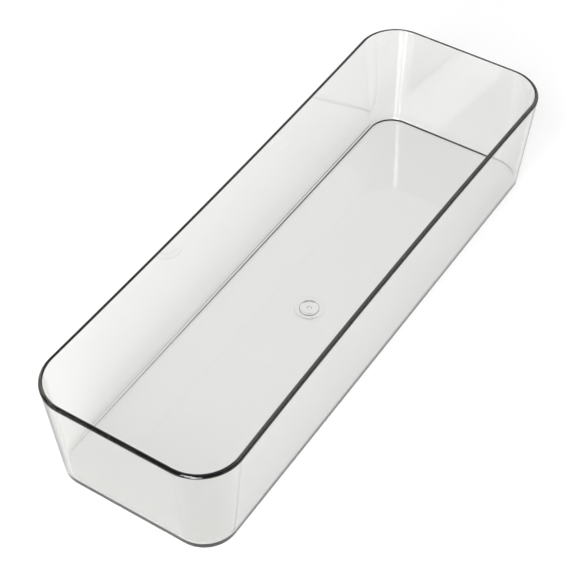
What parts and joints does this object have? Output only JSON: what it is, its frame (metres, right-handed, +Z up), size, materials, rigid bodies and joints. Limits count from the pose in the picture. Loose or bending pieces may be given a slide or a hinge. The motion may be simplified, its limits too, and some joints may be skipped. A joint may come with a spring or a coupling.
{
  "type": "drawer organizer tray",
  "caption": "Long clear plastic drawer tray with rounded corners, leaning walls, an open top and a plain flat floor.",
  "frame": {"origin": "centre of the flat underside, on the surface the tray stands on", "axes": "+X along the tray's length, +Y across its width, +Z up, out of the open top"},
  "size_m": [0.3048, 0.101, 0.0584],
  "materials": {
    "clear_plastic": "clear, glossy"
  },
  "bodies": {
    "root": {"tray": "clear_plastic"}
  },
  "joints": []
}
